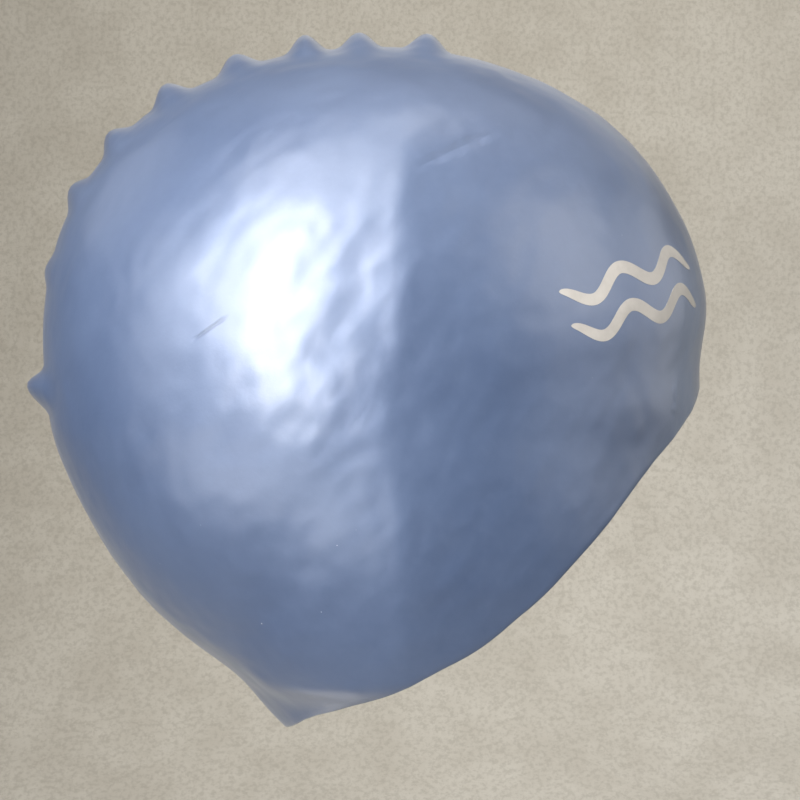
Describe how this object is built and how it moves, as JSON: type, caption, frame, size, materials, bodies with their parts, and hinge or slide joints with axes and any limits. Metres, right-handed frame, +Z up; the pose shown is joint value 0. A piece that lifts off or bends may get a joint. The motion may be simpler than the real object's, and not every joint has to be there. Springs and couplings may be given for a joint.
{
  "type": "swim cap",
  "caption": "Moulded silicone swim cap in its worn shape: a thin domed shell that covers the ears, with puckers down the back of its midline and a thicker rim.",
  "frame": {"origin": "inner face of the crown, on the midline above the ears", "axes": "+X to the forehead, +Y to the wearer's left, +Z up"},
  "size_m": [0.2076, 0.1596, 0.2119],
  "materials": {
    "silicone": "smooth pearly blue silicone with a satin gloss",
    "print": "matt pale grey printed waves"
  },
  "bodies": {
    "root": {"cap_shell": "silicone"}
  },
  "joints": []
}
